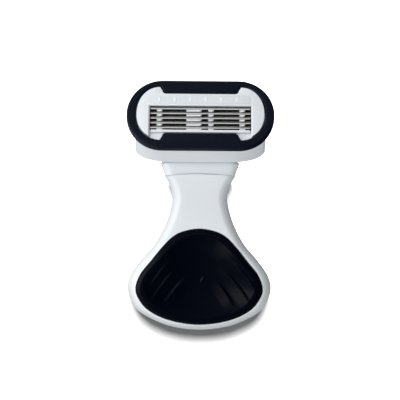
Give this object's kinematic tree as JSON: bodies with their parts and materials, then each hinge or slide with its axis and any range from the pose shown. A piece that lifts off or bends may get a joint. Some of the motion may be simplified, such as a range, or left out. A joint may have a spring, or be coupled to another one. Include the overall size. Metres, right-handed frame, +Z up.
{
  "type": "body razor",
  "caption": "Compact body razor: a shell handle with a dished grip pad, and a pivoting blade cartridge in a soft oval ring.",
  "frame": {"origin": "on the flat land under the handle, on its centre line", "axes": "the razor lies on its back: +X across, +Y from the tail to the head, +Z up towards the blades"},
  "size_m": [0.0496, 0.0843, 0.0238],
  "materials": {
    "shell_white": "satin gloss white moulding",
    "frame_white": "satin white moulding",
    "pad_elastomer": "dark navy soft-touch elastomer",
    "ring_elastomer": "matt dark navy elastomer",
    "grey_moulding": "plain grey moulding",
    "glide_strip": "waxy pale strip",
    "blade_steel": "bright ground steel",
    "spring_steel": "drawn spring wire"
  },
  "bodies": {
    "handle": {"handle_front_shell": "shell_white", "handle_back_shell": "shell_white", "grip_pad": "pad_elastomer", "docking_nose": "grey_moulding", "button_spring": "spring_steel", "plunger_spring": "spring_steel"},
    "release": {"release_button": "grey_moulding", "ejector": "grey_moulding"},
    "plunger": {"plunger": "grey_moulding"},
    "connector": {"connector": "frame_white"},
    "cartridge": {"cartridge_tray": "frame_white", "face_cover": "frame_white", "comfort_ring": "ring_elastomer", "glide_strip": "glide_strip", "blade_1": "blade_steel", "blade_2": "blade_steel", "blade_3": "blade_steel", "blade_4": "blade_steel", "blade_5": "blade_steel", "blade_support_1": "blade_steel", "blade_support_2": "blade_steel", "blade_support_3": "blade_steel", "blade_support_4": "blade_steel", "blade_support_5": "blade_steel"}
  },
  "joints": [
    {"name": "connector_dock", "type": "slide", "parent": "handle", "child": "connector", "axis": [0, 1, 0], "range_m": [0, 0.014]},
    {"name": "cartridge_pivot", "type": "hinge", "parent": "connector", "child": "cartridge", "pos_m": [0, 0.03553, 0.01417], "axis": [-1, 0, 0], "range_deg": [0, 40], "stiffness_Nm_per_rad": 0.006, "springref_deg": -18.91},
    {"name": "plunger_slide", "type": "slide", "parent": "handle", "child": "plunger", "axis": [0, -1, 0], "range_m": [0, 0.00349], "deforming": ["plunger_spring"]},
    {"name": "release_slide", "type": "slide", "parent": "handle", "child": "release", "axis": [0, 1, 0], "range_m": [0, 0.003], "stiffness_N_per_m": 300, "springref_m": -0.002, "deforming": ["button_spring"]}
  ],
  "couplings": [
    {"joint": "plunger_slide", "follows": "cartridge_pivot", "m_per_rad": 0.005}
  ]
}
